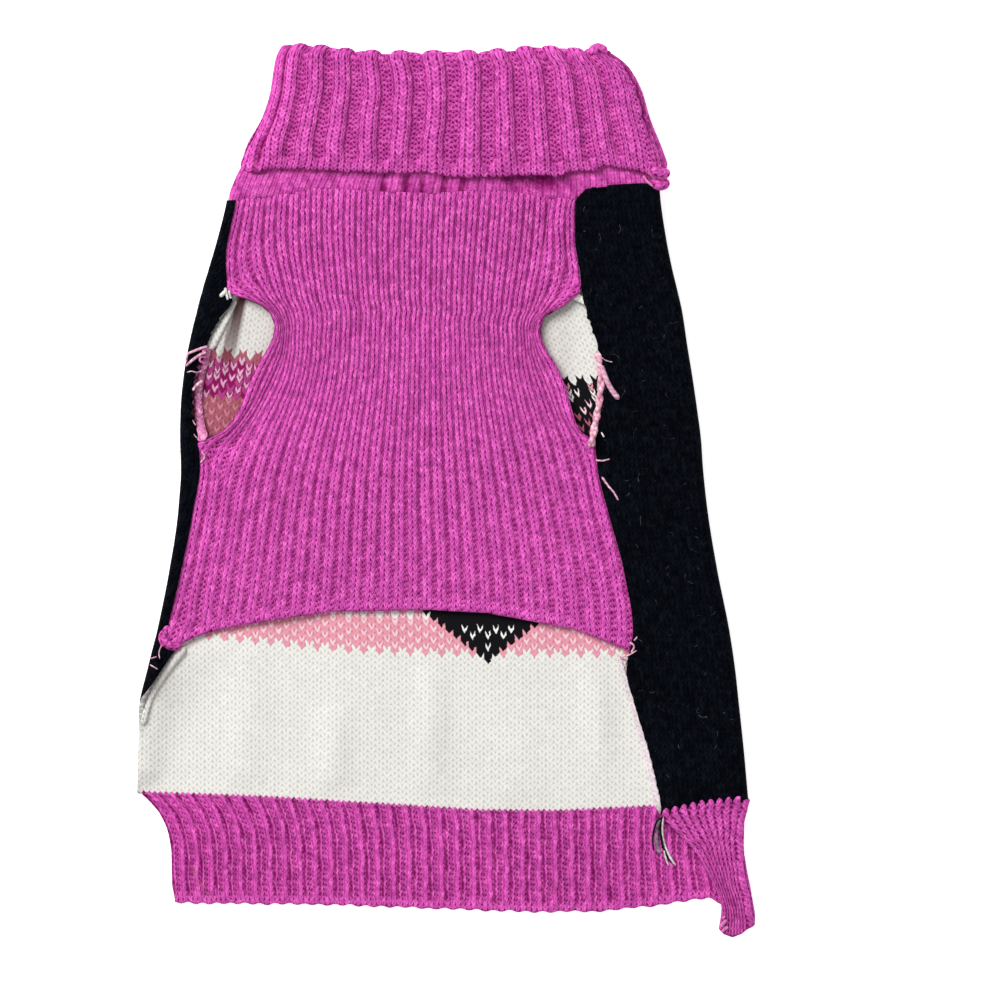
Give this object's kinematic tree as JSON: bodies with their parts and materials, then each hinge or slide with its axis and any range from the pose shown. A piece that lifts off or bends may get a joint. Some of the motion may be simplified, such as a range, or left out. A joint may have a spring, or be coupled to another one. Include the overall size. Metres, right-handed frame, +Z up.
{
  "type": "dog sweater",
  "caption": "Small knitted turtleneck dog sweater laid flat, belly side up: folded rib collar, ribbed belly with foreleg notches, wrap-round back and ribbed hem band.",
  "frame": {"origin": "on the surface that the sweater lies on, under the middle of its outline", "axes": "+Y from the hem to the neck, +X to the right seen from above, +Z up"},
  "size_m": [0.2156, 0.3127, 0.0126],
  "materials": {
    "back_knit": "black double knit, with a cream patterned inside",
    "rib_knit": "magenta rib knit with a soft nap"
  },
  "bodies": {
    "root": {"back_panel": "back_knit", "belly_panel": "rib_knit", "hem_band": "rib_knit", "collar": "rib_knit"}
  },
  "joints": []
}
